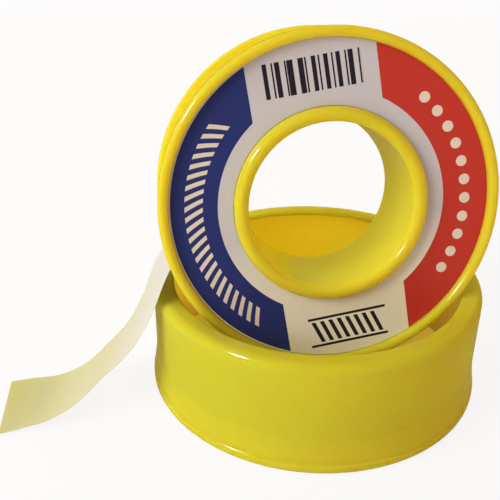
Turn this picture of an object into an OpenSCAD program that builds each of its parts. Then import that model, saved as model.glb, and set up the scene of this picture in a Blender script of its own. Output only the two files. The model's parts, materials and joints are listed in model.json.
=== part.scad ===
// Thread seal tape roll: a two-flanged spool with a face label and wound tape,
// standing tilted in the round opening of its own cover ring.
// Millimetres, +Z up, origin at the middle of the cover ring's foot.

/* [Tape] */
// Width of the tape
tape_w = 12.7; // [10:0.1:20]
// Thickness of the tape
tape_t = 0.1; // [0.07:0.01:0.12]
// Length of tape on a full roll
tape_len = 6604; // [4000:1:8000]
// Free room between the tape and each flange
tape_side_gap = 0.3; // [0.3:0.05:0.6]
// Free room between the loose outer turn and the roll below it
turn_gap = 0.3; // [0.3:0.05:0.5]

/* [Spool] */
// Outer diameter of both flanges
flange_d = 50; // [47:0.5:56]
// Diameter of the bore
bore_d = 24.2; // [20:0.1:25]
// Wall of the hub tube
hub_wall = 1.9; // [1.6:0.1:2.4]
// Thickness of the flange webs
web_t = 1.1; // [0.9:0.1:1.6]
// Radial width of the round rim on each flange
rim_w = 1.5; // [1.2:0.1:2]
// Height of the front rim over the label seat
front_rim_h = 1.3; // [1:0.1:1.8]
// Height of the back rim over the back web
back_rim_h = 0.4; // [0.2:0.05:0.7]
// Radial width of the round lip at the front of the bore
lip_w = 2.1; // [1.9:0.1:2.6]
// Height of the bore lip over the label seat
lip_h = 1.7; // [1.4:0.1:2.2]
// Radius of the rounded back end of the bore
bore_round_r = 1.9; // [1.2:0.1:2]

/* [Label] */
// Thickness of the paper label
label_t = 0.12; // [0.08:0.01:0.3]
// Free room between the label and the raised rims
label_gap = 0.05; // [0.03:0.01:0.3]

/* [Cover ring] */
// Radial room between the flanges and the cover ring's wall
cover_gap = 0.35; // [0.3:0.05:0.8]
// Wall of the cover ring
cover_wall = 0.8; // [0.7:0.05:1.4]
// Rounding of the cover ring's outer edge at the mouth
cover_edge_r = 1.3; // [0.8:0.1:1.6]
// How far the cover ring's lip reaches in from its wall
cover_lip_w = 2.4; // [1.6:0.1:3]
// Thickness of the cover ring's lip
cover_lip_t = 1; // [0.8:0.05:1.4]
// Radius of the foot bead's round edge
bead_r = 0.9; // [0.7:0.05:1.2]
// How far the foot bead stands out of the wall
bead_out = 0.7; // [0.4:0.05:1]
// Height at which the flare over the foot bead starts
flare_h = 5.5; // [3.5:0.1:8]
// How far the flare stands out of the wall at the bead
flare_out = 0.5; // [0.2:0.05:0.6]

/* [Resting pose] */
// Turn of the spool's face away from straight ahead
spool_yaw = 12.9; // [0:0.1:20]
// Lean of the spool backwards
spool_lean = 11.4; // [6:0.1:13]
// Shift of the spool's middle from the cover ring's axis, towards the back
spool_shift = 0.45; // [-1:0.05:1]
// Gap between the spool's rims and the opening that carries it
seat_gap = 0.3; // [0.2:0.05:0.6]

/* [Hidden] */
$fn = 96;

// Radii of the spool
flange_r = flange_d / 2;
bore_r = bore_d / 2;
hub_r = bore_r + hub_wall;
rim_r = rim_w / 2;
rim_mid = flange_r - rim_r;
lip_r = lip_w / 2;
lip_mid = bore_r + lip_r;

// Places along the spool's axis, from the label seat, positive to the front
groove_w = tape_w + 2 * tape_side_gap;
groove_front = -web_t;
groove_back = groove_front - groove_w;
back_face = groove_back - web_t;
front_rim_mid = front_rim_h - rim_r;
back_rim_mid = back_face - back_rim_h + rim_r;
spool_front = front_rim_h;
spool_back = back_face - back_rim_h;
spool_mid = (spool_front + spool_back) / 2;
groove_mid = (groove_front + groove_back) / 2;

// The tape that is left on the hub fills a ring of the same area
roll_gap = 0.05;
roll_in_r = hub_r + roll_gap;
roll_r = sqrt(pow(roll_in_r, 2) + tape_len * tape_t / PI);
turn_r = roll_r + turn_gap + tape_t / 2;

// Radii and heights of the cover ring
cover_in_r = flange_r + cover_gap;
cover_r = cover_in_r + cover_wall;
mouth_r = cover_in_r - cover_lip_w;
cover_h = spool_front - spool_back + cover_lip_t;
lip_edge_r = cover_lip_t / 2;
edge_r = max(cover_edge_r, cover_wall, cover_lip_t);
bead_mid = cover_r + bead_out - bead_r;

// Directions of the tilted spool: across its face, out of its face, up its face
across = [cos(spool_yaw), sin(spool_yaw), 0];
outward = [sin(spool_yaw) * cos(spool_lean), -cos(spool_yaw) * cos(spool_lean), sin(spool_lean)];
upward = [-sin(spool_yaw) * sin(spool_lean), cos(spool_yaw) * sin(spool_lean), cos(spool_lean)];

// The spool sinks into the cover ring's mouth until its rims come near the edge of it
seat_steps = 24;
mouth_mid = mouth_r + lip_edge_r;
function mouth_point(a) = [mouth_mid * cos(a), mouth_mid * sin(a), cover_h - lip_edge_r];
function rim_room(v) =
    let (a = v * outward, r = norm([v * across, v * upward]))
    let (past = max(a - front_rim_mid + spool_mid, back_rim_mid - spool_mid - a, 0))
    (past == 0 ? r - rim_mid : norm([max(r - rim_mid, 0), past])) - rim_r - lip_edge_r;
function room_at(h) = min([for (a = [0:1:359]) rim_room(mouth_point(a) - [0, spool_shift, h])]);
function seat_height(low, high, left) =
    left == 0 ? high
        : room_at((low + high) / 2) >= seat_gap
            ? seat_height(low, (low + high) / 2, left - 1)
            : seat_height((low + high) / 2, high, left - 1);
spool_h = seat_height(cover_h, cover_h + flange_r, seat_steps);
spool_place = [0, spool_shift, spool_h];

// The tape's outer turn starts under the tail and leaves the roll at tail_angle
tail_angle = 165;
turn_sweep = 330;
turn_step = 15;
// Middle line of the free tail, across the spool's face and above the table
tail_route = [[-22.5, 26.1], [-25.4, 20], [-27.6, 14.9], [-30.6, 10.2], [-34.6, 6.5],
    [-38.5, 3.2], [-42.7, 1.3], [-46.8, 0.7], [-50.5, 0.2]];
tail_steps = 3;
// Share of the tail after which it turns to lie flat on the table
flat_from = 0.55;
// How far the tail swings forward on the table, and the share after which it does
tail_swing = 1;
swing_from = 0.2;
// Twist of the tail where it passes the cover ring, and the shares where it is full and gone
tail_twist = 4.9;
twist_full = 0.25;
twist_gone = 0.6;

// The strip's middle line, across and up the spool's face from its axis
tape_back = spool_mid - groove_mid;
function up_face(height) = (height - spool_h + tape_back * sin(spool_lean)) / cos(spool_lean);
tail_line = [for (p = tail_route) [p[0], up_face(p[1])]];
function on_turn(a) = [turn_r * cos(a), turn_r * sin(a)];
turn_points = [for (a = [tail_angle - turn_sweep:turn_step:tail_angle]) on_turn(a)];
tail_last = len(tail_line) - 1;
knots = concat([on_turn(tail_angle - turn_step), on_turn(tail_angle)], tail_line,
    [2 * tail_line[tail_last] - tail_line[tail_last - 1]]);
function bend(a, b, c, d, t) = 0.5 * (2 * b + (c - a) * t
    + (2 * a - 5 * b + 4 * c - d) * t * t + (3 * b - a - 3 * c + d) * t * t * t);
tail_points = [for (i = [1:len(knots) - 3], k = [1:tail_steps])
    bend(knots[i - 1], knots[i], knots[i + 1], knots[i + 2], k / tail_steps)];
strip = concat(turn_points, tail_points);
strip_last = len(strip) - 1;
turn_last = len(turn_points) - 1;

// The tape's cross direction runs along the axis, twists a little and turns level towards its cut end
function ease(x) = let (t = min(max(x, 0), 1)) t * t * (3 - 2 * t);
function eased(i, from, to) = ease((max(0, (i - turn_last) / (strip_last - turn_last)) - from) / (to - from));
function strip_level(i) = spool_lean * eased(i, flat_from, 1);
function strip_twist(i) = tail_twist * eased(i, 0, twist_full) * (1 - eased(i, twist_full, twist_gone));
function strip_cross(i) =
    let (v = strip_level(i), t = strip_twist(i)) [-sin(t) * cos(v), cos(t) * cos(v), sin(v)];
function strip_swing(i) = tail_swing * eased(i, swing_from, 1) * [0, -cos(spool_lean), -sin(spool_lean)];
function strip_centre(i) = [strip[i][0], tape_back, strip[i][1]] + strip_swing(i);
function strip_way(i) =
    let (v = strip_centre(min(i + 1, strip_last)) - strip_centre(max(i - 1, 0))) v / norm(v);
function strip_corners(i) =
    let (c = strip_centre(i), w = strip_cross(i) * tape_w / 2)
    let (t = cross(strip_way(i), strip_cross(i)) * tape_t / 2)
    [c + w + t, c - w + t, c - w - t, c + w - t];

// Least gap between the outer turn and the free tail, away from where they join
joined = 3;
least_gap = min([for (i = [0:turn_last], j = [turn_last + 1:strip_last])
    if (j - i > joined) norm(strip[i] - strip[j])]) - tape_t;
function run(list, i) = i == 0 ? 0 : norm(list[i] - list[i - 1]) + run(list, i - 1);
echo(least_gap = least_gap, strip_length = run(strip, strip_last), roll_r = roll_r, cover_h = cover_h);
echo(spool_h = spool_h, outward = outward, mouth_r = mouth_r, cover_r = cover_r);

// Stands children, drawn with X across and Z up the spool's face, in the tilted spool's place
module tilted() {
    translate(spool_place) rotate([0, 0, spool_yaw]) rotate([-spool_lean, 0, 0]) children();
}

// Stands children, drawn round Z with the label seat at 0, in the tilted spool's place
module at_spool() {
    tilted() rotate([90, 0, 0]) translate([0, 0, -spool_mid]) children();
}

// Bar from one height to another with a full-round end at the second
module round_bar(x, width, from, to) {
    mid = to > from ? to - width / 2 : to + width / 2;
    translate([x, min(from, mid)]) square([width, abs(mid - from)]);
    translate([x + width / 2, mid]) circle(d = width);
}

// Hub tube and its rounded back end
module hub_profile() {
    hub_back = back_face + bore_round_r;
    translate([bore_r, hub_back]) square([hub_wall, -hub_back]);
    translate([bore_r + bore_round_r, back_face])
        square([max(hub_wall - bore_round_r, 0) + web_t, web_t]);
    intersection() {
        translate([bore_r + bore_round_r, hub_back]) circle(r = bore_round_r);
        translate([bore_r, back_face]) square([bore_round_r, bore_round_r]);
    }
}

module spool_profile() {
    hub_profile();
    round_bar(bore_r, lip_w, groove_front, lip_h);
    translate([lip_mid, groove_front]) square([rim_mid - lip_mid, web_t]);
    round_bar(flange_r - rim_w, rim_w, groove_front, front_rim_h);
    translate([bore_r + bore_round_r, back_face]) square([rim_mid - bore_r - bore_round_r, web_t]);
    round_bar(flange_r - rim_w, rim_w, groove_back, spool_back);
}

module cover_profile() {
    // Wall and lip, with a round outer edge and a full-round inner edge
    translate([cover_in_r, bead_r]) square([cover_wall, cover_h - bead_r - edge_r]);
    translate([mouth_r + lip_edge_r, cover_h - cover_lip_t])
        square([cover_r - edge_r - mouth_r - lip_edge_r, cover_lip_t]);
    translate([mouth_r + lip_edge_r, cover_h - lip_edge_r]) circle(r = lip_edge_r);
    translate([cover_r - edge_r, cover_h - edge_r]) intersection() {
        circle(r = edge_r);
        square(edge_r);
    }
    // Foot with its bead, and the flare that runs down to it
    translate([cover_in_r, 0]) square([bead_mid - cover_in_r, bead_r]);
    translate([bead_mid, bead_r]) intersection() {
        circle(r = bead_r);
        translate([0, -bead_r]) square([bead_r, 2 * bead_r]);
    }
    polygon([[cover_in_r, bead_r], [cover_r + flare_out, bead_r],
        [cover_r + flare_out, 2 * bead_r], [cover_r, flare_h], [cover_in_r, flare_h]]);
}

module cover_ring() {
    color([0.93, 0.84, 0.1]) rotate_extrude() cover_profile();
}

module spool() {
    color([0.93, 0.84, 0.1]) at_spool() rotate_extrude() spool_profile();
}

module face_label() {
    color([0.93, 0.92, 0.9]) at_spool() rotate_extrude()
        translate([bore_r + lip_w + label_gap, 0])
            square([flange_r - rim_w - bore_r - lip_w - 2 * label_gap, label_t]);
}

module tape_roll() {
    color([0.93, 0.91, 0.66]) at_spool() rotate_extrude()
        translate([roll_in_r, groove_back + tape_side_gap]) square([roll_r - roll_in_r, tape_w]);
}

module tape_tail() {
    corners = [for (i = [0:strip_last]) each strip_corners(i)];
    sides = [for (i = [0:strip_last - 1], k = [0:3])
        let (a = 4 * i + k, b = 4 * i + (k + 1) % 4) each [[a, b, b + 4], [a, b + 4, a + 4]]];
    last = 4 * strip_last;
    ends = [[0, 2, 1], [0, 3, 2], [last, last + 1, last + 2], [last, last + 2, last + 3]];
    color([0.95, 0.93, 0.72, 0.8]) tilted() polyhedron(corners, concat(sides, ends));
}

cover_ring();
spool();
face_label();
tape_roll();
tape_tail();
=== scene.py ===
# %% [markdown]
# A roll of thread seal tape has two mouldings in the same yellow plastic: a spool with two flanges, and
# a cover ring that is pulled off it. Here the ring lies on the table and the spool leans in its mouth.
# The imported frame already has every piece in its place, so this lesson only gives them their looks.

# %% Load the frame
import json
import math

import bmesh
import bpy
from mathutils import Matrix, Vector


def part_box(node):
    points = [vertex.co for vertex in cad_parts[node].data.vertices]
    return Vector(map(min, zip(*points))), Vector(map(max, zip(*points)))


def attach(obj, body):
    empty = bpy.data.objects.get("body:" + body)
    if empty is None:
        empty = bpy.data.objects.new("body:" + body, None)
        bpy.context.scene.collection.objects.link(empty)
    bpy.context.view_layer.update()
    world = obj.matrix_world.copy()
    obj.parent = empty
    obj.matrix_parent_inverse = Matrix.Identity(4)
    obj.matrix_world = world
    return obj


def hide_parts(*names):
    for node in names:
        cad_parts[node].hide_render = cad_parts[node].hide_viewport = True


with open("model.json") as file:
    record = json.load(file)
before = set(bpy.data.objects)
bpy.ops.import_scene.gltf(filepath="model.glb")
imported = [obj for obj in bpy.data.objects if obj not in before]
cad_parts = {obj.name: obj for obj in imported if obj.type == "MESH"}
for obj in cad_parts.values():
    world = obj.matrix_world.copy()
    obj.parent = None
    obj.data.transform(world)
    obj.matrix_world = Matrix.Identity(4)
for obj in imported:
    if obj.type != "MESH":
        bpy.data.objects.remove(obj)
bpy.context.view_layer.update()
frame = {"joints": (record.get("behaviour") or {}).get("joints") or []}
MM = 0.001

# %% [markdown]
# Every round piece of the spool shares one tilted axis. The frame's own joint gives it, so the spool's
# place is read from there: X runs across the face, Y up the face and Z out of the face.

# %% Find the spool's axis
spool_turn = next(joint for joint in frame["joints"] if joint["name"] == "spool_turn")
spool_middle = Vector(spool_turn["pos_m"])
outward = Vector(spool_turn["axis"]).normalized()
across = Vector((0, 0, 1)).cross(outward).normalized()
upward = outward.cross(across)
spool_matrix = Matrix.Translation(spool_middle) @ Matrix((across, upward, outward)).transposed().to_4x4()
print("lean of the spool in degrees:", round(math.degrees(math.asin(outward.z)), 2))

# %% [markdown]
# The camera comes first, because everything else is judged through it. It was solved from the edges of
# the photograph, so its place and its three directions are written down as they came out.

# %% Place the camera
IMAGE_SIDE = 500
FOCAL_PIXELS = 754.2
CAMERA_PLACE = Vector((-0.12, -106.86, 78.19)) * MM
CAMERA_RIGHT = Vector((0.9945, 0.1038, 0.0083))
CAMERA_UP = Vector((-0.0559, 0.4647, 0.8838))

camera_data = bpy.data.cameras.new("camera")
camera_data.sensor_width = 36.0
camera_data.lens = camera_data.sensor_width * FOCAL_PIXELS / IMAGE_SIDE
camera_data.clip_start = 0.005
camera_data.clip_end = 20.0
camera = bpy.data.objects.new("camera", camera_data)
camera_back = CAMERA_RIGHT.cross(CAMERA_UP)
camera.matrix_world = (Matrix.Translation(CAMERA_PLACE)
                       @ Matrix((CAMERA_RIGHT, CAMERA_UP, camera_back)).transposed().to_4x4())
bpy.context.scene.collection.objects.link(camera)
bpy.context.scene.camera = camera
print("lens in mm:", round(camera_data.lens, 2))

# %% [markdown]
# Node trees are long when every link is spelled out. The first helper adds a node, sets its properties and
# feeds its inputs with plain values or with other nodes' outputs, so that a tree reads like a sum. The
# others add the nodes that come up most: sums, noise, ranges and colour mixes.

# %% Helpers for node trees
def add_node(tree, kind, feed=None, **properties):
    """Adds a node to a tree. feed maps an input's name or number to a value or an output socket."""
    node = tree.nodes.new(kind)
    for name, value in properties.items():
        setattr(node, name, value)
    for key, value in (feed or {}).items():
        if isinstance(value, bpy.types.NodeSocket):
            tree.links.new(value, node.inputs[key])
        else:
            node.inputs[key].default_value = value
    return node


def sum_node(tree, operation, first, second=0.0, third=0.0):
    """Adds a Math node and returns its output."""
    feed = {0: first, 1: second, 2: third}
    return add_node(tree, "ShaderNodeMath", feed, operation=operation).outputs[0]


def noise(tree, place, scale, detail):
    """Adds a noise texture and returns its value, 0 to 1. The scale is about the lumps in a metre."""
    feed = {"Vector": place, "Scale": scale, "Detail": detail}
    return add_node(tree, "ShaderNodeTexNoise", feed).outputs["Fac"]


def spread(tree, value, start=0.0, end=1.0, low=0.0, high=1.0):
    """Maps a value from the range start to end onto the range low to high."""
    feed = {"Value": value, "From Min": start, "From Max": end, "To Min": low, "To Max": high}
    return add_node(tree, "ShaderNodeMapRange", feed).outputs["Result"]


def mix_colour(tree, share, first, second):
    """Adds a colour mix and returns its output. The colours are linear, with alpha."""
    node = tree.nodes.new("ShaderNodeMix")
    node.data_type = "RGBA"
    named = {socket.identifier: socket for socket in node.inputs}
    for identifier, value in (("Factor_Float", share), ("A_Color", first), ("B_Color", second)):
        if isinstance(value, bpy.types.NodeSocket):
            tree.links.new(value, named[identifier])
        else:
            named[identifier].default_value = value
    return next(socket for socket in node.outputs if socket.identifier == "Result_Color")


print("helpers for node trees ready")

# %% [markdown]
# Every finish starts from the Principled shader. Its colours are written as they are read on a screen and
# made linear here, its plain values are set by name, and a height pattern can stand out as a bump.

# %% Helpers for finishes
def linear(red, green, blue):
    """A colour as it is read on a screen, 0 to 255, made linear for the shader."""
    parts = [value / 255 for value in (red, green, blue)]
    return tuple(x / 12.92 if x <= 0.04045 else ((x + 0.055) / 1.055) ** 2.4 for x in parts) + (1.0,)


def new_material(name):
    """A material with an empty tree but for its Principled shader, which is returned with the tree."""
    material = bpy.data.materials.new(name)
    material.use_nodes = True
    return material, material.node_tree, material.node_tree.nodes["Principled BSDF"]


def set_shader(shader, values):
    """Sets plain values on a shader's inputs."""
    for name, value in values.items():
        shader.inputs[name].default_value = value


def add_bump(tree, shader, height, strength, depth):
    """Makes a height pattern stand out a little. The depth is in metres."""
    bump = add_node(tree, "ShaderNodeBump", {"Height": height, "Strength": strength, "Distance": depth})
    tree.links.new(bump.outputs["Normal"], shader.inputs["Normal"])


print("helpers for finishes ready")

# %% [markdown]
# Both mouldings are polyethylene. Light goes a little way into it, the mould left it glossy with a faint
# orange peel, and handling left hair scratches and a few dark specks. The shader takes those in turn:
# a slow drift of colour with specks, uneven gloss, two small bumps, and scattering below the surface. Red
# light gets the longest scatter radius, so that shaded places and thin walls turn golden, as on the real
# one.

# %% Yellow plastic
YELLOW = linear(225, 212, 56)
YELLOW_DEEP = linear(219, 204, 52)
SPECK = linear(110, 82, 22)
SPECK_SIZE = 0.035
SPECK_RARE = 0.86
SPECK_SHARE = 0.55
SCRATCH_TURN = (0.4, 0.9, 0.3)
SCRATCH_STRETCH = (2600.0, 90.0, 240.0)
SCRATCH_FINE = 6.0
SCRATCH_SHARE = 0.8


def yellow_plastic():
    """Drifting colour, a few specks, uneven gloss, orange peel and hair scratches."""
    material, tree, shader = new_material("yellow_plastic")
    place = add_node(tree, "ShaderNodeTexCoord").outputs["Object"]
    body = mix_colour(tree, noise(tree, place, 35.0, 2.0), YELLOW, YELLOW_DEEP)
    cells = add_node(tree, "ShaderNodeTexVoronoi",
                     {"Vector": place, "Scale": 130.0, "Randomness": 1.0}).outputs
    near_speck = sum_node(tree, "LESS_THAN", cells["Distance"], SPECK_SIZE)
    draw = add_node(tree, "ShaderNodeSeparateColor", {"Color": cells["Color"]}).outputs["Red"]
    chosen = sum_node(tree, "GREATER_THAN", draw, SPECK_RARE)
    speck_share = sum_node(tree, "MULTIPLY", sum_node(tree, "MULTIPLY", near_speck, chosen), SPECK_SHARE)
    tree.links.new(mix_colour(tree, speck_share, body, SPECK), shader.inputs["Base Color"])

    gloss = noise(tree, place, 240.0, 5.0)
    tree.links.new(spread(tree, gloss, low=0.08, high=0.15), shader.inputs["Roughness"])

    peel = noise(tree, place, 900.0, 2.0)
    stretched = add_node(tree, "ShaderNodeMapping",
                         {"Vector": place, "Rotation": SCRATCH_TURN, "Scale": SCRATCH_STRETCH})
    scratch = sum_node(tree, "POWER", noise(tree, stretched.outputs["Vector"], 1.0, 4.0), SCRATCH_FINE)
    add_bump(tree, shader, sum_node(tree, "MULTIPLY_ADD", scratch, SCRATCH_SHARE, peel),
             strength=0.03, depth=0.0001)
    set_shader(shader, {
        "Specular IOR Level": 0.3,
        "Subsurface Weight": 0.9,
        "Subsurface Radius": (0.0052, 0.0031, 0.0016),
        "Subsurface Scale": 1.0,
    })
    return material


plastic = yellow_plastic()
print("made", plastic.name)

# %% [markdown]
# Both mouldings and the label are round about one axis, as a lathe would turn them. A profile is a short
# list of corners, each with the radius that rounds it. Long straight runs get a support point near each
# end, because smooth shading would otherwise bend the light along the whole run.

# %% Rounded profiles
SHORTEST_RUN = 0.0001


def arc_points(corner, start, end, steps):
    """Points on the arc that touches both legs of a corner, from start to end."""
    middle = (start + end) / 2
    reach = (start - corner).length
    inward = (middle - corner).normalized()
    half = math.acos(max(-1.0, min(1.0, (start - corner).normalized().dot(inward))))
    centre = corner + inward * reach / math.cos(half)
    first, last = start - centre, end - centre
    turn = first.angle_signed(last)
    return [centre + Matrix.Rotation(-turn * k / steps, 2) @ first for k in range(steps + 1)]


def rounded_profile(corners, steps=10, margin=0.12):
    """Corners (radius, height, rounding) become a closed outline, with support points on long runs."""
    places = [Vector((r, z)) for r, z, _ in corners]
    outline = []
    for i, (_, _, rounding) in enumerate(corners):
        here, before, after = places[i], places[i - 1], places[(i + 1) % len(places)]
        to_before, to_after = (before - here).normalized(), (after - here).normalized()
        reach = rounding / math.tan(to_before.angle(to_after) / 2)
        outline += arc_points(here, here + to_before * reach, here + to_after * reach, steps)
    smooth = []
    for here, after in zip(outline, outline[1:] + outline[:1]):
        run = (after - here).length
        if run > SHORTEST_RUN:
            smooth.append(here)
        if run > 3 * margin:
            way = (after - here) / run
            smooth += [here + way * margin, after - way * margin]
    return smooth


print("profile helper ready")

# %% [markdown]
# A Screw modifier could turn the profile too. Here a geometry node tree sweeps it round a circle, so the
# number of sides is one named input, and the same tree serves all the round pieces.

# %% The turning tree
def turning_tree():
    """Sweeps a profile curve, drawn as radius and height, round the Z axis."""
    tree = bpy.data.node_groups.new("turned_round", "GeometryNodeTree")
    for name, kind in (("Profile", "NodeSocketGeometry"), ("Sides", "NodeSocketInt"),
                       ("Path radius", "NodeSocketFloat"), ("Finish", "NodeSocketMaterial")):
        tree.interface.new_socket(name, in_out="INPUT", socket_type=kind)
    tree.interface.new_socket("Mesh", in_out="OUTPUT", socket_type="NodeSocketGeometry")
    given = add_node(tree, "NodeGroupInput").outputs
    circle = add_node(tree, "GeometryNodeCurvePrimitiveCircle",
                      {"Resolution": given["Sides"], "Radius": given["Path radius"]}, mode="RADIUS")
    upright = add_node(tree, "GeometryNodeSetCurveNormal",
                       {"Curve": circle.outputs["Curve"]}, mode="Z_UP")
    swept = add_node(tree, "GeometryNodeCurveToMesh",
                     {"Curve": upright.outputs["Curve"], "Profile Curve": given["Profile"]})
    smooth = add_node(tree, "GeometryNodeSetShadeSmooth", {"Geometry": swept.outputs["Mesh"]})
    real = add_node(tree, "GeometryNodeRealizeInstances", {"Geometry": smooth.outputs[0]})
    dressed = add_node(tree, "GeometryNodeSetMaterial",
                       {"Geometry": real.outputs[0], "Material": given["Finish"]})
    add_node(tree, "NodeGroupOutput", {"Mesh": dressed.outputs[0]})
    return tree


def set_inputs(modifier, values):
    """Sets a tree's inputs by the identifiers of their sockets."""
    for item in modifier.node_group.interface.items_tree:
        if item.item_type == "SOCKET" and item.in_out == "INPUT" and item.name in values:
            modifier[item.identifier] = values[item.name]


TURNING = turning_tree()
PATH_RADIUS = 10.0
print("tree:", TURNING.name, "with", len(TURNING.nodes), "nodes")

# %% [markdown]
# The tree's result is made a plain mesh and the holder is taken away, because the export wants meshes with
# no live modifier. The mesh then moves to its place in the frame, so that the object stays at the origin.

# %% Turning a piece
MERGE_REACH = 1e-7


def plain_mesh(holder, name):
    """The evaluated result of a holder's modifiers as a plain mesh object, with the holder taken away."""
    graph = bpy.context.evaluated_depsgraph_get()
    mesh = bpy.data.meshes.new_from_object(holder.evaluated_get(graph))
    mesh.name = name
    bpy.data.objects.remove(holder)
    piece = bpy.data.objects.new(name, mesh)
    bpy.context.scene.collection.objects.link(piece)
    return piece


def tidy_mesh(mesh):
    """Merges doubles and turns every face outwards."""
    shape = bmesh.new()
    shape.from_mesh(mesh)
    bmesh.ops.remove_doubles(shape, verts=shape.verts, dist=MERGE_REACH)
    bmesh.ops.recalc_face_normals(shape, faces=shape.faces)
    shape.to_mesh(mesh)
    shape.free()


def turned_piece(name, outline, finish, matrix, sides=192):
    """Turns an outline in millimetres round Z and puts it in its place in the frame, in metres."""
    curve = bpy.data.curves.new(name + "_outline", "CURVE")
    curve.dimensions = "3D"
    spline = curve.splines.new("POLY")
    spline.points.add(len(outline) - 1)
    for point, place in zip(spline.points, outline):
        point.co = (place.x - PATH_RADIUS, -place.y, 0.0, 1.0)
    spline.use_cyclic_u = True
    holder = bpy.data.objects.new(name + "_outline", curve)
    bpy.context.scene.collection.objects.link(holder)
    turned = holder.modifiers.new("turned", "NODES")
    turned.node_group = TURNING
    set_inputs(turned, {"Sides": sides, "Path radius": PATH_RADIUS, "Finish": finish})
    piece = plain_mesh(holder, name)
    piece.data.transform(matrix @ Matrix.Scale(MM, 4))
    tidy_mesh(piece.data)
    print(name, len(piece.data.polygons), "faces")
    return piece


# %% [markdown]
# The cover ring is the lower piece. Its lip turns in at the top, its wall is plain, and near the table it
# flares out to a round bead with a fine crease above it. All of it is one profile, and the frame gives its
# height and its reach.

# %% Cover ring
COVER_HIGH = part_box("cover_ring")[1].z / MM
BEAD_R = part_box("cover_ring")[1].x / MM
COVER_R = 26.15
COVER_IN_R = 25.35
MOUTH_R = 22.95
LIP_T = 1.0
BEAD_TOP = 1.5
CREASE_R = COVER_R + 0.48
CREASE_Z = 1.75
FLARE_R = COVER_R + 0.46
FLARE_LOW = 2.6
FLARE_TOP = 6.0

cover_corners = [
    (COVER_IN_R, 0.0, 0.12),
    (BEAD_R, 0.0, 0.85),
    (BEAD_R, BEAD_TOP, 0.45),
    (CREASE_R, CREASE_Z, 0.12),
    (FLARE_R, FLARE_LOW, 0.5),
    (COVER_R, FLARE_TOP, 5.0),
    (COVER_R, COVER_HIGH, 1.3),
    (MOUTH_R, COVER_HIGH, 0.49),
    (MOUTH_R, COVER_HIGH - LIP_T, 0.49),
    (COVER_IN_R, COVER_HIGH - LIP_T, 0.3),
]
cover = turned_piece("cover_shell", rounded_profile(cover_corners), plastic, Matrix.Identity(4))
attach(cover, "cover")
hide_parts("cover_ring")

# %% [markdown]
# The spool is one moulding too. From the front its profile goes round the lip of the bore, over the
# recess for the label and round the rim, then down the groove that holds the tape and up the back flange.

# %% Spool
BORE_R = 12.1
HUB_R = 14.0
FLANGE_R = 25.0
FLANGE_T = 1.1
RIM_W = 1.5
RIM_H = 1.3
BACK_RIM_W = 1.3
BACK_RIM_H = 0.4
BORE_LIP_W = 2.1
BORE_LIP_H = 1.7
GROOVE_W = 13.3
SEAT_Z = 7.3
GROOVE_FRONT = SEAT_Z - FLANGE_T
GROOVE_BACK = GROOVE_FRONT - GROOVE_W
BACK_Z = GROOVE_BACK - FLANGE_T

spool_corners = [
    (BORE_R, SEAT_Z + BORE_LIP_H, 1.04),
    (BORE_R + BORE_LIP_W, SEAT_Z + BORE_LIP_H, 1.04),
    (BORE_R + BORE_LIP_W, SEAT_Z, 0.12),
    (FLANGE_R - RIM_W, SEAT_Z, 0.12),
    (FLANGE_R - RIM_W, SEAT_Z + RIM_H, 0.74),
    (FLANGE_R, SEAT_Z + RIM_H, 0.74),
    (FLANGE_R, GROOVE_FRONT, 0.2),
    (HUB_R, GROOVE_FRONT, 0.3),
    (HUB_R, GROOVE_BACK, 0.3),
    (FLANGE_R, GROOVE_BACK, 0.2),
    (FLANGE_R, BACK_Z - BACK_RIM_H, 0.7),
    (FLANGE_R - BACK_RIM_W, BACK_Z - BACK_RIM_H, 0.2),
    (FLANGE_R - RIM_W, BACK_Z, 0.15),
    (BORE_R, BACK_Z, 1.88),
]
spool = turned_piece("spool_moulding", rounded_profile(spool_corners), plastic, spool_matrix)
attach(spool, "spool")
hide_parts("spool")

# %% [markdown]
# The label is coated paper. Its print is flat colour with sharp edges, which a shader can draw exactly:
# a UV map holds each point's place on the face in millimetres, turned as the label was stuck on, and
# comparisons of that place paint the fields. Four small helpers do it: one for a value between two
# others, one for several tests at once, one for the bars of a row, and one for the length of a step.

# %% Tests for the print
def between(tree, value, low, high):
    """1 where value lies between low and high, else 0."""
    above = sum_node(tree, "GREATER_THAN", value, low)
    below = sum_node(tree, "LESS_THAN", value, high)
    return sum_node(tree, "MULTIPLY", above, below)


def all_of(tree, *tests):
    """1 where all the tests are 1."""
    result = tests[0]
    for test in tests[1:]:
        result = sum_node(tree, "MULTIPLY", result, test)
    return result


def on_bar(tree, value, pitch, width):
    """1 on the bars of an even row, else 0."""
    return sum_node(tree, "LESS_THAN", sum_node(tree, "WRAP", value, pitch, 0.0), width)


def far_from(tree, side, rise):
    """The length of a step sideways and upwards."""
    square = sum_node(tree, "MULTIPLY", rise, rise)
    return sum_node(tree, "SQRT", sum_node(tree, "MULTIPLY_ADD", side, side, square))


print("tests for the print ready")

# %% [markdown]
# The print is a blue and a red field with a white band between them. Small plain marks fill them: a row of
# slanted bars, a row of dots, a block of upright bars and a little piece of thread. Sizes are in
# millimetres from the middle of the face, turns are in degrees, and a row has a pitch and a width of bar.

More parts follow.
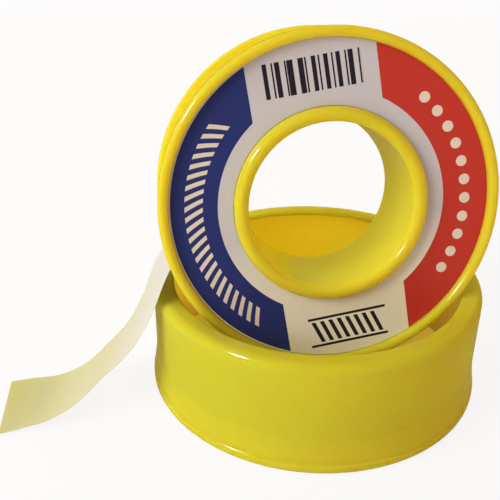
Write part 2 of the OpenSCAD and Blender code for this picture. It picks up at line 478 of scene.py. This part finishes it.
# %% Label print
UV_SPAN = 50.0
BAND_HALF = 9.3
FIELD_RADII = (16.6, 23.36)
FIELD_SHIFT = 0.14
HATCH_RADII = (18.6, 21.2)
HATCH_SPAN = (-16.8, 79.8)
HATCH_SLANT = 1.6
HATCH_ROW = (4.2, 2.0)
DOT_RING_R = 20.0
DOT_R = 0.8
DOT_HALF_PITCH = 4.0
DOT_SPAN = (-44.0, 44.0)
BLOCK_SPAN = (-6.9, 6.9)
BLOCK_RISE = (16.4, 21.2)
WIDE_ROW = (1.72, 0.62)
THIN_ROW = (0.94, 0.24)
THREAD_SPAN = (-11.7, -1.3)
THREAD_RISE = (-21.0, -17.6)
THREAD_SLANT = 0.35
THREAD_ROW = (1.3, 0.62)
RAIL_SPAN = (-6.0, 6.0)
UPPER_RAIL = (-17.3, -16.9)
LOWER_RAIL = (-21.7, -21.3)


def print_fields(tree, x, y):
    """The blue and the red field, each 1 where it lies."""
    field_radius = far_from(tree, sum_node(tree, "SUBTRACT", x, FIELD_SHIFT), y)
    in_field = between(tree, field_radius, *FIELD_RADII)
    blue_field = all_of(tree, in_field, sum_node(tree, "LESS_THAN", x, -BAND_HALF))
    red_field = all_of(tree, in_field, sum_node(tree, "GREATER_THAN", x, BAND_HALF))
    return blue_field, red_field


def pale_marks(tree, x, y, blue_field, red_field):
    """The slanted bars on the blue field and the dots on the red one."""
    radius = far_from(tree, x, y)
    slope = sum_node(tree, "ARCTAN2", y, sum_node(tree, "ABSOLUTE", x))
    angle = sum_node(tree, "MULTIPLY", slope, 180 / math.pi)
    hatch_turn = sum_node(tree, "MULTIPLY_ADD", radius, HATCH_SLANT, angle)
    hatch = all_of(tree, between(tree, radius, *HATCH_RADII), between(tree, hatch_turn, *HATCH_SPAN),
                   on_bar(tree, hatch_turn, *HATCH_ROW), blue_field)
    dot_step = sum_node(tree, "WRAP", angle, DOT_HALF_PITCH, -DOT_HALF_PITCH)
    dot_side = sum_node(tree, "MULTIPLY", dot_step, DOT_RING_R * math.pi / 180)
    dot_reach = far_from(tree, dot_side, sum_node(tree, "SUBTRACT", radius, DOT_RING_R))
    dots = all_of(tree, sum_node(tree, "LESS_THAN", dot_reach, DOT_R), between(tree, angle, *DOT_SPAN),
                  red_field)
    return sum_node(tree, "MAXIMUM", hatch, dots)


def dark_marks(tree, x, y):
    """The block of upright bars and the piece of thread between its two rails."""
    bar = sum_node(tree, "MAXIMUM", on_bar(tree, x, *WIDE_ROW), on_bar(tree, x, *THIN_ROW))
    block = all_of(tree, between(tree, x, *BLOCK_SPAN), between(tree, y, *BLOCK_RISE), bar)
    thread_turn = sum_node(tree, "MULTIPLY_ADD", y, THREAD_SLANT, x)
    thread = all_of(tree, between(tree, thread_turn, *THREAD_SPAN), between(tree, y, *THREAD_RISE),
                    on_bar(tree, thread_turn, *THREAD_ROW))
    rail = sum_node(tree, "MAXIMUM", between(tree, y, *UPPER_RAIL), between(tree, y, *LOWER_RAIL))
    rails = all_of(tree, between(tree, x, *RAIL_SPAN), rail)
    return sum_node(tree, "MAXIMUM", block, sum_node(tree, "MAXIMUM", thread, rails))


print("print ready")

# %% [markdown]
# The paper itself is nearly white, with faint clouds and a fine grain of fibres that also makes its gloss
# uneven. Low on the face its colour is painted paler and yellower, as painted light for the glow that the
# ring below throws on it. The inks lie over the paper one after another, and the grain lies over them all.

# %% Label paper
PAPER = linear(209, 210, 216)
# Painted light: the paper's colour low on the face, for the glow that the ring throws on it.
PAPER_RING_LIGHT = linear(252, 250, 226)
PAPER_CLOUD = linear(214, 202, 186)
PAPER_GRAIN = linear(120, 112, 104)
BLUE = linear(34, 50, 122)
RED = linear(203, 57, 46)
CREAM = linear(236, 226, 206)
INK = linear(26, 24, 44)
RING_LIGHT_RANGE = (-3.0, -13.0)
CLOUD_SHARE = 0.12
GRAIN_SHARE = 0.06


def label_paper():
    """Paper with fibres and clouds, painted light low on the face, and the print over it."""
    material, tree, shader = new_material("printed_paper")
    uv = add_node(tree, "ShaderNodeUVMap", uv_map="print_place").outputs["UV"]
    apart = add_node(tree, "ShaderNodeSeparateXYZ", {"Vector": uv}).outputs
    x = sum_node(tree, "MULTIPLY_ADD", apart["X"], UV_SPAN, -UV_SPAN / 2)
    y = sum_node(tree, "MULTIPLY_ADD", apart["Y"], UV_SPAN, -UV_SPAN / 2)
    blue_field, red_field = print_fields(tree, x, y)
    pale = pale_marks(tree, x, y, blue_field, red_field)
    dark = dark_marks(tree, x, y)

    place = add_node(tree, "ShaderNodeTexCoord").outputs["Object"]
    fibre = noise(tree, place, 1500.0, 4.0)
    cloud = noise(tree, place, 90.0, 2.0)
    # Painted light: low on the face the paper is mixed towards a paler, yellower colour.
    colour = mix_colour(tree, spread(tree, y, *RING_LIGHT_RANGE), PAPER, PAPER_RING_LIGHT)
    colour = mix_colour(tree, sum_node(tree, "MULTIPLY", cloud, CLOUD_SHARE), colour, PAPER_CLOUD)
    for share, ink in ((blue_field, BLUE), (red_field, RED), (pale, CREAM), (dark, INK)):
        colour = mix_colour(tree, share, colour, ink)
    grain = sum_node(tree, "MULTIPLY", fibre, GRAIN_SHARE)
    tree.links.new(mix_colour(tree, grain, colour, PAPER_GRAIN), shader.inputs["Base Color"])
    tree.links.new(spread(tree, fibre, low=0.36, high=0.5), shader.inputs["Roughness"])
    add_bump(tree, shader, fibre, strength=0.05, depth=0.00005)
    set_shader(shader, {"Specular IOR Level": 0.2})
    return material


paper = label_paper()
print("made", paper.name, "with", len(paper.node_tree.nodes), "nodes")

# %% [markdown]
# The label is a thin paper ring that lies in the flange's recess. It is turned like the mouldings, with
# edges that are only just rounded, and its UV map is the place of each corner on the face.

# %% Face label
LABEL_IN_R = 14.25
LABEL_OUT_R = 23.45
LABEL_T = 0.12
GLUE_T = 0.005
LABEL_TURN = math.radians(8.75)

label_corners = [
    (LABEL_IN_R, SEAT_Z + GLUE_T, 0.02),
    (LABEL_OUT_R, SEAT_Z + GLUE_T, 0.02),
    (LABEL_OUT_R, SEAT_Z + LABEL_T, 0.03),
    (LABEL_IN_R, SEAT_Z + LABEL_T, 0.03),
]
label_outline = rounded_profile(label_corners, steps=3, margin=0.03)
label = turned_piece("printed_label", label_outline, paper, spool_matrix)
print_place = label.data.uv_layers.new(name="print_place")
to_label = Matrix.Rotation(-LABEL_TURN, 4, "Z") @ spool_matrix.inverted()
for loop in label.data.loops:
    spot = to_label @ label.data.vertices[loop.vertex_index].co / MM
    print_place.data[loop.index].uv = (spot.x / UV_SPAN + 0.5, spot.y / UV_SPAN + 0.5)
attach(label, "spool")
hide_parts("face_label")

# %% [markdown]
# The tape is a soft white film. Layer on layer it looks white, and where one layer lies free it takes a
# yellow tint from what is round it. It is thin enough for light to come through, so its shader lets light
# scatter inside it and shows a little of what lies behind.

# %% Tape film
TAPE_WHITE = linear(249, 249, 238)
TAPE_PALE = linear(226, 228, 202)
TAPE_DEEP = linear(231, 224, 112)
OFF_ROLL = (-0.022, -0.032)
TOWARDS_END = (-0.028, -0.052)
END_SHARE = 0.7
DRIFT_SHARE = 0.3
FREE_ALPHA = 0.84


def tape_film(name, alpha):
    """White film on the roll, tinted more and more towards the cut end."""
    material, tree, shader = new_material(name)
    place = add_node(tree, "ShaderNodeTexCoord").outputs["Object"]
    side = add_node(tree, "ShaderNodeSeparateXYZ", {"Vector": place}).outputs["X"]
    drift = sum_node(tree, "MULTIPLY", noise(tree, place, 70.0, 3.0), DRIFT_SHARE)
    deep = sum_node(tree, "MULTIPLY_ADD", spread(tree, side, *TOWARDS_END), END_SHARE, drift)
    end_colour = mix_colour(tree, deep, TAPE_PALE, TAPE_DEEP)
    colour = mix_colour(tree, spread(tree, side, *OFF_ROLL), TAPE_WHITE, end_colour)
    tree.links.new(colour, shader.inputs["Base Color"])
    weave = noise(tree, place, 1400.0, 3.0)
    tree.links.new(spread(tree, weave, low=0.42, high=0.6), shader.inputs["Roughness"])
    add_bump(tree, shader, weave, strength=0.08, depth=0.00005)
    set_shader(shader, {
        "Subsurface Weight": 0.35,
        "Subsurface Radius": (0.001, 0.0009, 0.0005),
        "Subsurface Scale": 1.0,
        "Specular IOR Level": 0.3,
        "Alpha": alpha,
    })
    return material


film = tape_film("tape_film", FREE_ALPHA)
wound_film = tape_film("wound_tape", 1.0)
print("made", film.name, "and", wound_film.name)

# %% [markdown]
# The tape on the hub is one long spiral, a turn on each tenth of a millimetre. A spiral curve with a thin
# upright profile gives just that: every turn is there, and the edges of the turns show as fine lines.

# %% The winding tree
TAPE_W = 12.7
TAPE_T = 0.1
TAPE_LONG = 6604.0
SPIRAL_STEPS = 72
TURN_FILL = 0.9
ROLL_GAP = 0.05
ROLL_IN_R = HUB_R + ROLL_GAP
ROLL_R = math.sqrt(ROLL_IN_R ** 2 + TAPE_LONG * TAPE_T / math.pi)
TAPE_Z = (GROOVE_FRONT + GROOVE_BACK) / 2


def winding_tree():
    """A flat spiral of film: turns, inner and outer radius, width and thickness are its inputs."""
    tree = bpy.data.node_groups.new("wound_film", "GeometryNodeTree")
    tree.interface.new_socket("Geometry", in_out="INPUT", socket_type="NodeSocketGeometry")
    for name in ("Turns", "Inner radius", "Outer radius", "Width", "Thickness"):
        tree.interface.new_socket(name, in_out="INPUT", socket_type="NodeSocketFloat")
    tree.interface.new_socket("Finish", in_out="INPUT", socket_type="NodeSocketMaterial")
    tree.interface.new_socket("Mesh", in_out="OUTPUT", socket_type="NodeSocketGeometry")
    given = add_node(tree, "NodeGroupInput").outputs
    spiral = add_node(tree, "GeometryNodeCurveSpiral",
                      {"Resolution": SPIRAL_STEPS, "Rotations": given["Turns"], "Height": 0.0,
                       "Start Radius": given["Inner radius"], "End Radius": given["Outer radius"]})
    upright = add_node(tree, "GeometryNodeSetCurveNormal",
                       {"Curve": spiral.outputs["Curve"]}, mode="Z_UP")
    section = add_node(tree, "GeometryNodeCurvePrimitiveQuadrilateral",
                       {"Width": given["Thickness"], "Height": given["Width"]}, mode="RECTANGLE")
    swept = add_node(tree, "GeometryNodeCurveToMesh",
                     {"Curve": upright.outputs["Curve"], "Profile Curve": section.outputs["Curve"],
                      "Fill Caps": True})
    real = add_node(tree, "GeometryNodeRealizeInstances", {"Geometry": swept.outputs["Mesh"]})
    dressed = add_node(tree, "GeometryNodeSetMaterial",
                       {"Geometry": real.outputs[0], "Material": given["Finish"]})
    add_node(tree, "NodeGroupOutput", {"Mesh": dressed.outputs[0]})
    return tree


WINDING = winding_tree()
print("tree:", WINDING.name, "with", len(WINDING.nodes), "nodes")

# %% [markdown]
# The tree needs an object to work on, so an empty mesh holds it and is then taken away. The number of turns
# follows from the roll's two radii, which hold the whole length of the tape.

# %% Wound tape
holder = bpy.data.objects.new("winding_holder", bpy.data.meshes.new("winding_holder"))
bpy.context.scene.collection.objects.link(holder)
winding = holder.modifiers.new("winding", "NODES")
winding.node_group = WINDING
turns = (ROLL_R - ROLL_IN_R) / TAPE_T
set_inputs(winding, {
    "Turns": turns,
    "Inner radius": ROLL_IN_R + TAPE_T / 2,
    "Outer radius": ROLL_R - TAPE_T / 2,
    "Width": TAPE_W,
    "Thickness": TAPE_T * TURN_FILL,
    "Finish": wound_film,
})
roll = plain_mesh(holder, "wound_tape")
roll.data.transform(spool_matrix @ Matrix.Translation((0, 0, TAPE_Z * MM)) @ Matrix.Scale(MM, 4))
tidy_mesh(roll.data)
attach(roll, "spool")
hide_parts("tape_roll")
print("wound tape:", round(turns, 1), "turns,", len(roll.data.polygons), "faces")

# %% [markdown]
# The outer turn and the free end are one strip. It goes round the roll, leaves it between the flanges,
# falls past the cover ring and turns level until it lies on the table. The points of the fall are listed,
# across the face and above the table, and a smooth curve runs through them.

# %% Route of the free end
TURN_LOOSE = 0.3
TURN_R = ROLL_R + TURN_LOOSE + TAPE_T / 2
TAIL_ANGLE = 165
TURN_SWEEP = 330
TURN_STEP = 3
TAIL_ROUTE = [(-22.5, 26.1), (-25.4, 20.0), (-27.6, 14.9), (-30.6, 10.2), (-34.6, 6.5),
              (-38.5, 3.2), (-42.7, 1.3), (-46.8, 0.7), (-50.5, 0.2)]
TAIL_STEPS = 12
KNOT_BACK = 15
FLAT_FROM = 0.55
TAIL_SWING = 1.0
SWING_FROM = 0.2
TAIL_TWIST = math.radians(4.9)
TWIST_FULL = 0.25
TWIST_GONE = 0.6
LEAN = math.asin(outward.z)


def on_turn(degrees):
    """A point of the outer turn, on the face's own two directions."""
    return Vector((TURN_R * math.cos(math.radians(degrees)), TURN_R * math.sin(math.radians(degrees))))


def up_face(height):
    """How far up the face a height above the table is, on the tape's middle line."""
    return (height - spool_middle.z / MM - TAPE_Z * outward.z) / math.cos(LEAN)


def bend(a, b, c, d, t):
    """The smooth curve between b and c."""
    square = (2 * a - 5 * b + 4 * c - d) * t ** 2
    cube = (3 * b - a - 3 * c + d) * t ** 3
    return 0.5 * (2 * b + (c - a) * t + square + cube)


turn_line = [on_turn(a) for a in range(TAIL_ANGLE - TURN_SWEEP, TAIL_ANGLE + 1, TURN_STEP)]
tail_knots = [on_turn(TAIL_ANGLE - KNOT_BACK), on_turn(TAIL_ANGLE)]
tail_knots += [Vector((side, up_face(height))) for side, height in TAIL_ROUTE]
tail_knots.append(2 * tail_knots[-1] - tail_knots[-2])
tail_line = [bend(*tail_knots[i - 1:i + 3], k / TAIL_STEPS)
             for i in range(1, len(tail_knots) - 2) for k in range(1, TAIL_STEPS + 1)]
strip_line = turn_line + tail_line

# %% [markdown]
# A strip has no round section, so its mesh is laid ring by ring. Near the spool a ring follows the tilted
# axis. Further down it twists a little and then turns level, so that the cut end lies flat on the table.

# %% Rings of the free end
AHEAD = Vector((outward.x, outward.y, 0.0)).normalized()


def eased(share, start, end):
    """Goes smoothly from 0 at start to 1 at end."""
    t = min(max((share - start) / (end - start), 0.0), 1.0)
    return t * t * (3 - 2 * t)


def strip_ring(i):
    """Centre, cross direction and upper side of the strip at one ring, in the frame."""
    last = len(strip_line) - 1
    share = max(0.0, (i - len(turn_line) + 1) / (last - len(turn_line) + 1))
    level = LEAN * eased(share, FLAT_FROM, 1)
    twist = TAIL_TWIST * eased(share, 0, TWIST_FULL) * (1 - eased(share, TWIST_FULL, TWIST_GONE))
    swing = TAIL_SWING * eased(share, SWING_FROM, 1)
    before, after = strip_line[max(i - 1, 0)], strip_line[min(i + 1, last)]
    way = (across * (after - before).x + upward * (after - before).y).normalized()
    twisted = -across * math.sin(twist) - outward * math.cos(twist)
    cross = twisted * math.cos(level) + upward * math.sin(level)
    place = across * strip_line[i].x + upward * strip_line[i].y + outward * TAPE_Z
    return spool_middle + (place + AHEAD * swing) * MM, cross, way.cross(cross).normalized()


rings = [strip_ring(i) for i in range(len(strip_line))]
print("cut end above the table in mm:", round(rings[-1][0].z / MM, 2))

# %% [markdown]
# Each ring becomes a row of points across the tape, on both sides of the film. Faces join every row to the
# next, and a row of faces closes each cut end. The film's own edges stay sharp and its sides smooth.

# %% Free end
COLUMNS = 8
SHARP_ANGLE = math.radians(50)
strip = bmesh.new()
rows = []
for centre, cross, side in rings:
    across_points = [centre + cross * TAPE_W * MM * (k / COLUMNS - 0.5) for k in range(COLUMNS + 1)]
    upper = [strip.verts.new(p + side * TAPE_T * MM / 2) for p in across_points]
    lower = [strip.verts.new(p - side * TAPE_T * MM / 2) for p in reversed(across_points)]
    rows.append(upper + lower)
around = len(rows[0])
for row, following in zip(rows, rows[1:]):
    for k in range(around):
        strip.faces.new((row[k], row[(k + 1) % around], following[(k + 1) % around], following[k]))
for row in (rows[0], rows[-1]):
    for k in range(COLUMNS):
        strip.faces.new((row[k], row[k + 1], row[around - 2 - k], row[around - 1 - k]))
bmesh.ops.recalc_face_normals(strip, faces=strip.faces)
for face in strip.faces:
    face.smooth = True
strip_mesh = bpy.data.meshes.new("tape_end")
strip.to_mesh(strip_mesh)
strip.free()
strip_mesh.set_sharp_from_angle(angle=SHARP_ANGLE)
strip_mesh.materials.append(film)
tape_end = bpy.data.objects.new("loose_tape", strip_mesh)
bpy.context.scene.collection.objects.link(tape_end)
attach(tape_end, "tape_end")
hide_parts("tape_tail")
print("free end:", len(strip_mesh.polygons), "faces")

# %% [markdown]
# The set is a white table. Inside the ring its colour is painted golden, as painted light for what comes
# through the yellow wall, and there it has a painted glow that lights the ring a little from within. Glossy
# pieces mirror a dim warm room, a painted reflection that the table shows to them alone, because the mirror
# image of a white table would wash the yellow out.

# %% Floor
# Painted light: the table's colours inside the ring, and a painted glow that lights the ring from within.
INSIDE_SEEN_PAINTED_LIGHT = linear(192, 154, 36)
INSIDE_PAINTED_LIGHT = linear(200, 150, 20)
INSIDE_PAINTED_GLOW = (0.09, 0.075, 0.06, 1.0)
MIRRORED = (0.4, 0.3, 0.09, 1.0)
TABLE = (0.92, 0.92, 0.92, 1.0)
FULL_WHITE = (1.0, 1.0, 1.0, 1.0)
SEEN_WHITE = 0.86


def white_floor():
    """White to the camera, painted golden light and a painted glow inside the ring, and dim in mirror
    images.
    """
    material, tree, shader = new_material("white_table")
    set_shader(shader, {"Roughness": 0.9, "Specular IOR Level": 0.1})
    path = add_node(tree, "ShaderNodeLightPath").outputs
    seen = sum_node(tree, "MAXIMUM", path["Is Camera Ray"], path["Is Transmission Ray"])
    place = add_node(tree, "ShaderNodeTexCoord").outputs["Object"]
    reach = add_node(tree, "ShaderNodeVectorMath", {0: place}, operation="LENGTH").outputs["Value"]
    outside = sum_node(tree, "GREATER_THAN", reach, COVER_R * MM)
    inside = sum_node(tree, "SUBTRACT", 1.0, outside)
    # Painted light: inside the ring the table's own colour is painted golden.
    tree.links.new(mix_colour(tree, outside, INSIDE_PAINTED_LIGHT, TABLE), shader.inputs["Base Color"])

    # Painted reflection: in mirror images the table shows a dim warm colour.
    dim = add_node(tree, "ShaderNodeEmission", {"Color": MIRRORED, "Strength": 1.0}).outputs[0]
    # Painted glow: inside the ring the table shines a little, though it is no lamp.
    within = add_node(tree, "ShaderNodeEmission", {"Color": INSIDE_PAINTED_GLOW, "Strength": inside}).outputs[0]
    # Painted light: to the camera the table is golden inside the ring.
    tint = mix_colour(tree, outside, INSIDE_SEEN_PAINTED_LIGHT, FULL_WHITE)
    glow = add_node(tree, "ShaderNodeEmission", {"Color": tint, "Strength": 1.0}).outputs[0]
    table = add_node(tree, "ShaderNodeMixShader",
                     {0: path["Is Glossy Ray"], 1: shader.outputs[0], 2: dim}).outputs[0]
    lit = add_node(tree, "ShaderNodeAddShader", {0: table, 1: within}).outputs[0]
    share = sum_node(tree, "MULTIPLY", seen, SEEN_WHITE)
    mixed = add_node(tree, "ShaderNodeMixShader", {0: share, 1: lit, 2: glow})
    tree.links.new(mixed.outputs[0], tree.nodes["Material Output"].inputs["Surface"])
    return material


FLOOR_HALF = 3.0
floor_mesh = bpy.data.meshes.new("floor")
floor_mesh.from_pydata([(-FLOOR_HALF, -FLOOR_HALF, 0), (FLOOR_HALF, -FLOOR_HALF, 0),
                        (FLOOR_HALF, FLOOR_HALF, 0), (-FLOOR_HALF, FLOOR_HALF, 0)], [], [(0, 1, 2, 3)])
floor_mesh.materials.append(white_floor())
floor = bpy.data.objects.new("floor", floor_mesh)
bpy.context.scene.collection.objects.link(floor)
print("floor:", 2 * FLOOR_HALF, "m square")

# %% [markdown]
# A window does two things: it lights broad surfaces, and it leaves short bright lines on round edges. Here
# each has a lamp of its own. The soft lamps light the pieces and hide from mirror images, and one small
# lamp, the spark, shows in mirror images alone. A warm weak lamp on the right stands for the room. Each
# line gives two angles in degrees, the distance and the size in metres, and the watts.

# %% Lamps
AIM = Vector((0.0, 0.0, 0.025))


def area_lamp(name, azimuth, elevation, distance, size, watts, colour, mirrored=False):
    """A square lamp that looks at the object. Azimuth is to the right of straight ahead, in degrees."""
    data = bpy.data.lights.new(name, "AREA")
    data.size = size
    data.energy = watts
    data.color = colour
    lamp = bpy.data.objects.new(name, data)
    a, e = math.radians(azimuth), math.radians(elevation)
    back = Vector((math.sin(a) * math.cos(e), -math.cos(a) * math.cos(e), math.sin(e)))
    lamp.matrix_world = (Matrix.Translation(AIM + back * distance)
                         @ back.to_track_quat("Z", "Y").to_matrix().to_4x4())
    lamp.visible_glossy = mirrored
    lamp.visible_diffuse = not mirrored
    bpy.context.scene.collection.objects.link(lamp)
    return lamp


WHITE = (1.0, 1.0, 1.0)
WARM = (1.0, 0.9, 0.76)
ROOM = (1.0, 0.44, 0.46)
lamps = [
    area_lamp("window", -54, 31, 0.8, 0.5, 5.0, WHITE),
    area_lamp("camera_side", -12, 10, 1.0, 0.5, 0.4, WHITE),
    area_lamp("ceiling", 75, 64, 1.0, 0.9, 0.7, WARM),
    area_lamp("room", 58, 14, 1.0, 0.7, 1.1, ROOM),
    area_lamp("behind", 178, 16, 1.0, 0.8, 6.5, WHITE),
    area_lamp("behind_left", -138, 14, 1.0, 0.6, 2.5, WHITE),
    area_lamp("spark", -50, 33, 0.8, 0.12, 5.0, WHITE, mirrored=True),
]
print("lamps:", [lamp.name for lamp in lamps])

# %% [markdown]
# The camera sees a white sky, like a paper backdrop. For the pieces it is a weak warm fill instead, so
# that shadows on the yellow plastic turn golden and not grey.

# %% Sky
SKY_LIGHT = 0.24
SKY_WARM = (1.0, 0.68, 0.42, 1.0)
world = bpy.data.worlds.new("white_sky")
world.use_nodes = True
sky = world.node_tree
backdrop = sky.nodes["Background"]
sky_path = add_node(sky, "ShaderNodeLightPath").outputs
sky_seen = sum_node(sky, "MAXIMUM", sky_path["Is Camera Ray"], sky_path["Is Transmission Ray"])
sky_full = sum_node(sky, "MAXIMUM", sky_seen, sky_path["Is Glossy Ray"])
sky.links.new(sum_node(sky, "MAXIMUM", sky_full, SKY_LIGHT), backdrop.inputs["Strength"])
sky_colour = mix_colour(sky, sky_path["Is Glossy Ray"], SKY_WARM, MIRRORED)
sky.links.new(mix_colour(sky, sky_seen, sky_colour, FULL_WHITE), backdrop.inputs["Color"])
bpy.context.scene.world = world
bpy.context.scene.view_settings.view_transform = "Standard"
print("sky light:", SKY_LIGHT)
